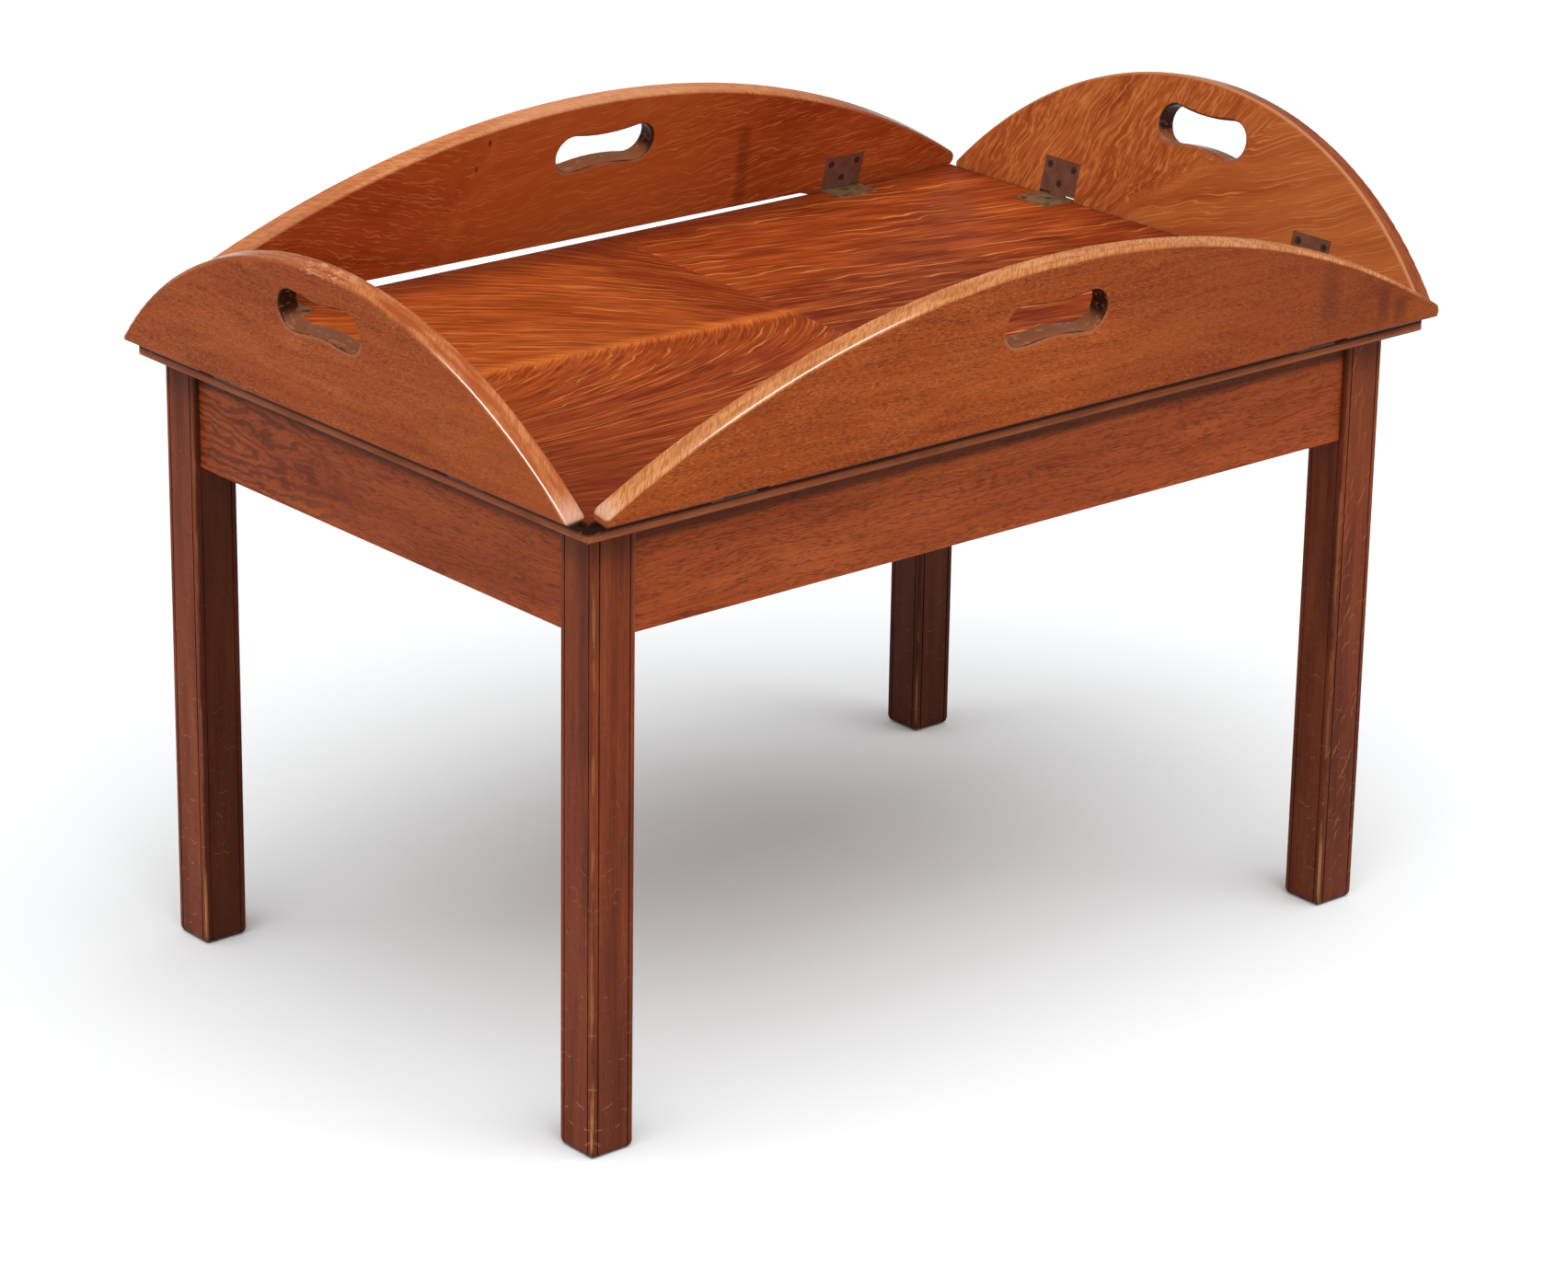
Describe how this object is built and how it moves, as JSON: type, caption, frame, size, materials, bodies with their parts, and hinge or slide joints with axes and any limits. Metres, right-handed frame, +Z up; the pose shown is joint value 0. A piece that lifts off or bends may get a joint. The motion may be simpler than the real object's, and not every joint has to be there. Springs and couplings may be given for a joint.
{
  "type": "butlers tray table",
  "caption": "Oak butler's tray table: oval-leafed tray with waisted hand-holds and hinged fold-down sides, resting on a square beaded-leg stand with deep aprons.",
  "frame": {"origin": "on the floor, midway between the four feet", "axes": "+X along the long side to the right, +Y to the back, +Z up; the front is the side towards -Y"},
  "size_m": [0.8351, 0.5555, 0.5693],
  "materials": {
    "oak_veneer": "polished, deep orange-brown, quarter-matched figure",
    "oak_leaf": "polished, red-brown",
    "oak_lipping": "polished, red-brown",
    "oak_stand": "polished, dark red-brown, worn on the corners",
    "oak_inner": "plain, unpolished",
    "hinge_brass": "darkened with age",
    "screw_steel": "dull"
  },
  "bodies": {
    "stand": {"leg_front_left": "oak_stand", "leg_front_right": "oak_stand", "leg_back_left": "oak_stand", "leg_back_right": "oak_stand", "apron_front": "oak_stand", "apron_back": "oak_stand", "apron_left": "oak_stand", "apron_right": "oak_stand", "corner_block_front_left": "oak_inner", "corner_block_front_right": "oak_inner", "corner_block_back_left": "oak_inner", "corner_block_back_right": "oak_inner"},
    "tray": {"tray_core": "oak_inner", "veneer_front_left": "oak_veneer", "veneer_front_right": "oak_veneer", "veneer_back_left": "oak_veneer", "veneer_back_right": "oak_veneer", "lipping_front": "oak_lipping", "lipping_back": "oak_lipping", "lipping_left": "oak_lipping", "lipping_right": "oak_lipping", "batten_left": "oak_inner", "batten_right": "oak_inner", "batten_screws": "screw_steel", "hinge_tray_plates_front": "hinge_brass", "hinge_pins_front": "hinge_brass", "hinge_tray_screws_front": "hinge_brass", "hinge_tray_plates_back": "hinge_brass", "hinge_pins_back": "hinge_brass", "hinge_tray_screws_back": "hinge_brass", "hinge_tray_plates_left": "hinge_brass", "hinge_pins_left": "hinge_brass", "hinge_tray_screws_left": "hinge_brass", "hinge_tray_plates_right": "hinge_brass", "hinge_pins_right": "hinge_brass", "hinge_tray_screws_right": "hinge_brass"},
    "front_leaf": {"leaf_front": "oak_leaf", "hinge_leaf_plates_front": "hinge_brass", "hinge_leaf_screws_front": "hinge_brass"},
    "back_leaf": {"leaf_back": "oak_leaf", "hinge_leaf_plates_back": "hinge_brass", "hinge_leaf_screws_back": "hinge_brass"},
    "left_leaf": {"leaf_left": "oak_leaf", "hinge_leaf_plates_left": "hinge_brass", "hinge_leaf_screws_left": "hinge_brass"},
    "right_leaf": {"leaf_right": "oak_leaf", "hinge_leaf_plates_right": "hinge_brass", "hinge_leaf_screws_right": "hinge_brass"}
  },
  "joints": [
    {"name": "tray_lift", "type": "slide", "parent": "stand", "child": "tray", "axis": [0, 0, 1], "range_m": [0, 0.3]},
    {"name": "front_leaf_hinge", "type": "hinge", "parent": "tray", "child": "front_leaf", "pos_m": [0.0034, -0.2608, 0.4507], "axis": [1, 0, 0], "range_deg": [-22.5, 81.5]},
    {"name": "back_leaf_hinge", "type": "hinge", "parent": "tray", "child": "back_leaf", "pos_m": [0.0034, 0.2518, 0.4507], "axis": [-1, 0, 0], "range_deg": [0, 104]},
    {"name": "left_leaf_hinge", "type": "hinge", "parent": "tray", "child": "left_leaf", "pos_m": [-0.3799, -0.0045, 0.4507], "axis": [0, -1, 0], "range_deg": [-21.8, 82.2]},
    {"name": "right_leaf_hinge", "type": "hinge", "parent": "tray", "child": "right_leaf", "pos_m": [0.3867, -0.0045, 0.4507], "axis": [0, 1, 0], "range_deg": [-26.7, 77.3]}
  ]
}
